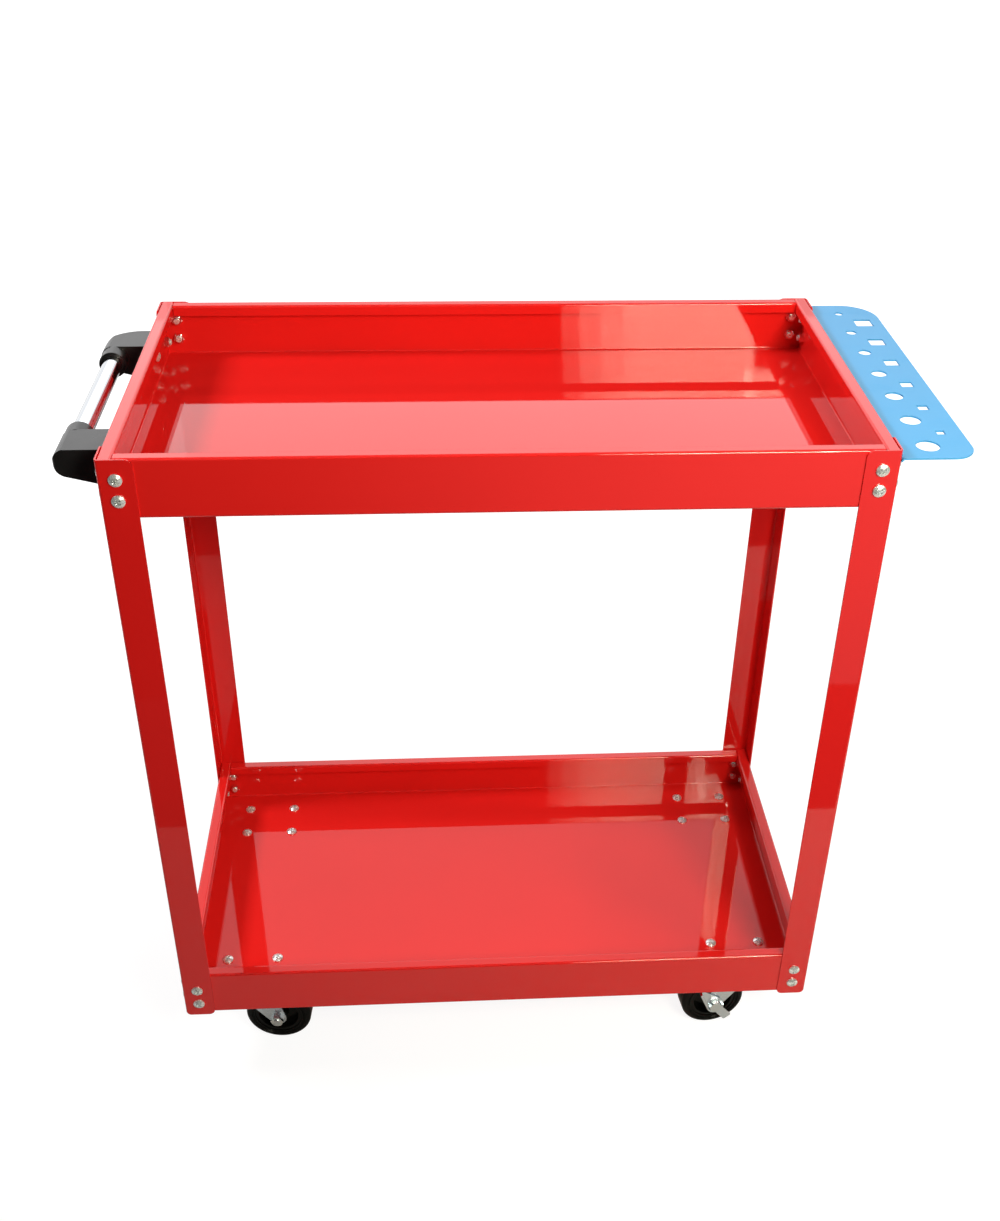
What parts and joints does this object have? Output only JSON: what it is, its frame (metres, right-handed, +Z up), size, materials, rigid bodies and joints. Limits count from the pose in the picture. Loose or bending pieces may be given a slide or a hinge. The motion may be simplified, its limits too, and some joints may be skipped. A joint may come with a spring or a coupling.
{
  "type": "two-tier tool cart",
  "caption": "Two-tier sheet-metal tool cart with rimmed trays on angle legs, a tube push handle, a perforated tool plate and swivel casters with foot brakes.",
  "frame": {"origin": "on the floor, below the middle of the whole length and width", "axes": "+X towards the tool plate, -X towards the push handle, -Y towards the front, +Z up; the casters stand as in the picture"},
  "size_m": [0.82, 0.3796, 0.78],
  "materials": {
    "leg_red": "glossy powder coat",
    "tray_red": "glossy powder coat",
    "bracket_dark": "satin",
    "tube_chrome": "polished",
    "plate_blue": "matte powder coat",
    "screw_zinc": "bright zinc plate",
    "nut_zinc": "bright zinc plate",
    "caster_zinc": "bright zinc plate",
    "pin_steel": "zinc plate",
    "ball_steel": "polished",
    "bolt_zinc": "zinc plate",
    "sleeve_steel": "ground",
    "wheel_black": "moulded",
    "tyre_black": "polished hard rubber",
    "lever_zinc": "bright zinc plate"
  },
  "bodies": {
    "cart": {"leg_front_left": "leg_red", "leg_front_right": "leg_red", "leg_rear_left": "leg_red", "leg_rear_right": "leg_red", "upper_tray": "tray_red", "lower_tray": "tray_red", "handle_bracket_front": "bracket_dark", "handle_bracket_rear": "bracket_dark", "handle_tube": "tube_chrome", "handle_screws": "screw_zinc", "tool_plate": "plate_blue", "upper_tray_screws": "screw_zinc", "upper_tray_nuts": "nut_zinc", "lower_tray_screws": "screw_zinc", "lower_tray_nuts": "nut_zinc", "caster_plate_front_left": "caster_zinc", "caster_plate_front_right": "caster_zinc", "caster_plate_rear_left": "caster_zinc", "caster_plate_rear_right": "caster_zinc", "caster_screws": "screw_zinc", "caster_nuts": "nut_zinc", "kingpins": "pin_steel", "kingpin_nuts": "nut_zinc", "swivel_balls": "ball_steel"},
    "swivel_front_left": {"fork_front_left": "caster_zinc", "axle_bolt_front_left": "bolt_zinc", "axle_nut_front_left": "nut_zinc", "sleeve_front_left": "sleeve_steel"},
    "swivel_front_right": {"fork_front_right": "caster_zinc", "axle_bolt_front_right": "bolt_zinc", "axle_nut_front_right": "nut_zinc", "sleeve_front_right": "sleeve_steel"},
    "swivel_rear_left": {"fork_rear_left": "caster_zinc", "axle_bolt_rear_left": "bolt_zinc", "axle_nut_rear_left": "nut_zinc", "sleeve_rear_left": "sleeve_steel"},
    "swivel_rear_right": {"fork_rear_right": "caster_zinc", "axle_bolt_rear_right": "bolt_zinc", "axle_nut_rear_right": "nut_zinc", "sleeve_rear_right": "sleeve_steel"},
    "wheel_front_left": {"wheel_core_front_left": "wheel_black", "tyre_front_left": "tyre_black"},
    "wheel_front_right": {"wheel_core_front_right": "wheel_black", "tyre_front_right": "tyre_black"},
    "wheel_rear_left": {"wheel_core_rear_left": "wheel_black", "tyre_rear_left": "tyre_black"},
    "wheel_rear_right": {"wheel_core_rear_right": "wheel_black", "tyre_rear_right": "tyre_black"},
    "lever_front_right": {"brake_lever_front_right": "lever_zinc"},
    "lever_rear_right": {"brake_lever_rear_right": "lever_zinc"}
  },
  "joints": [
    {"name": "swivel_front_left", "type": "hinge", "parent": "cart", "child": "swivel_front_left", "pos_m": [-0.2948, -0.1315, 0.085], "axis": [0, 0, 1], "continuous": true},
    {"name": "swivel_front_right", "type": "hinge", "parent": "cart", "child": "swivel_front_right", "pos_m": [0.2728, -0.1315, 0.085], "axis": [0, 0, 1], "continuous": true},
    {"name": "swivel_rear_left", "type": "hinge", "parent": "cart", "child": "swivel_rear_left", "pos_m": [-0.2948, 0.1315, 0.085], "axis": [0, 0, 1], "continuous": true},
    {"name": "swivel_rear_right", "type": "hinge", "parent": "cart", "child": "swivel_rear_right", "pos_m": [0.2728, 0.1315, 0.085], "axis": [0, 0, 1], "continuous": true},
    {"name": "roll_front_left", "type": "hinge", "parent": "swivel_front_left", "child": "wheel_front_left", "pos_m": [-0.26541, -0.13407, 0.0375], "axis": [0.0872, 0.9962, 0], "continuous": true},
    {"name": "roll_front_right", "type": "hinge", "parent": "swivel_front_right", "child": "wheel_front_right", "pos_m": [0.24355, -0.13535, 0.0375], "axis": [0.1305, -0.9914, 0], "continuous": true},
    {"name": "roll_rear_left", "type": "hinge", "parent": "swivel_rear_left", "child": "wheel_rear_left", "pos_m": [-0.26537, 0.13356, 0.0375], "axis": [-0.0698, 0.9976, 0], "continuous": true},
    {"name": "roll_rear_right", "type": "hinge", "parent": "swivel_rear_right", "child": "wheel_rear_right", "pos_m": [0.30201, 0.13561, 0.0375], "axis": [-0.1392, 0.9903, 0], "continuous": true},
    {"name": "brake_front_right", "type": "hinge", "parent": "swivel_front_right", "child": "lever_front_right", "pos_m": [0.24355, -0.13535, 0.0375], "axis": [0.1305, -0.9914, 0], "range_deg": [0, 40]},
    {"name": "brake_rear_right", "type": "hinge", "parent": "swivel_rear_right", "child": "lever_rear_right", "pos_m": [0.30201, 0.13561, 0.0375], "axis": [-0.1392, 0.9903, 0], "range_deg": [0, 40]}
  ]
}
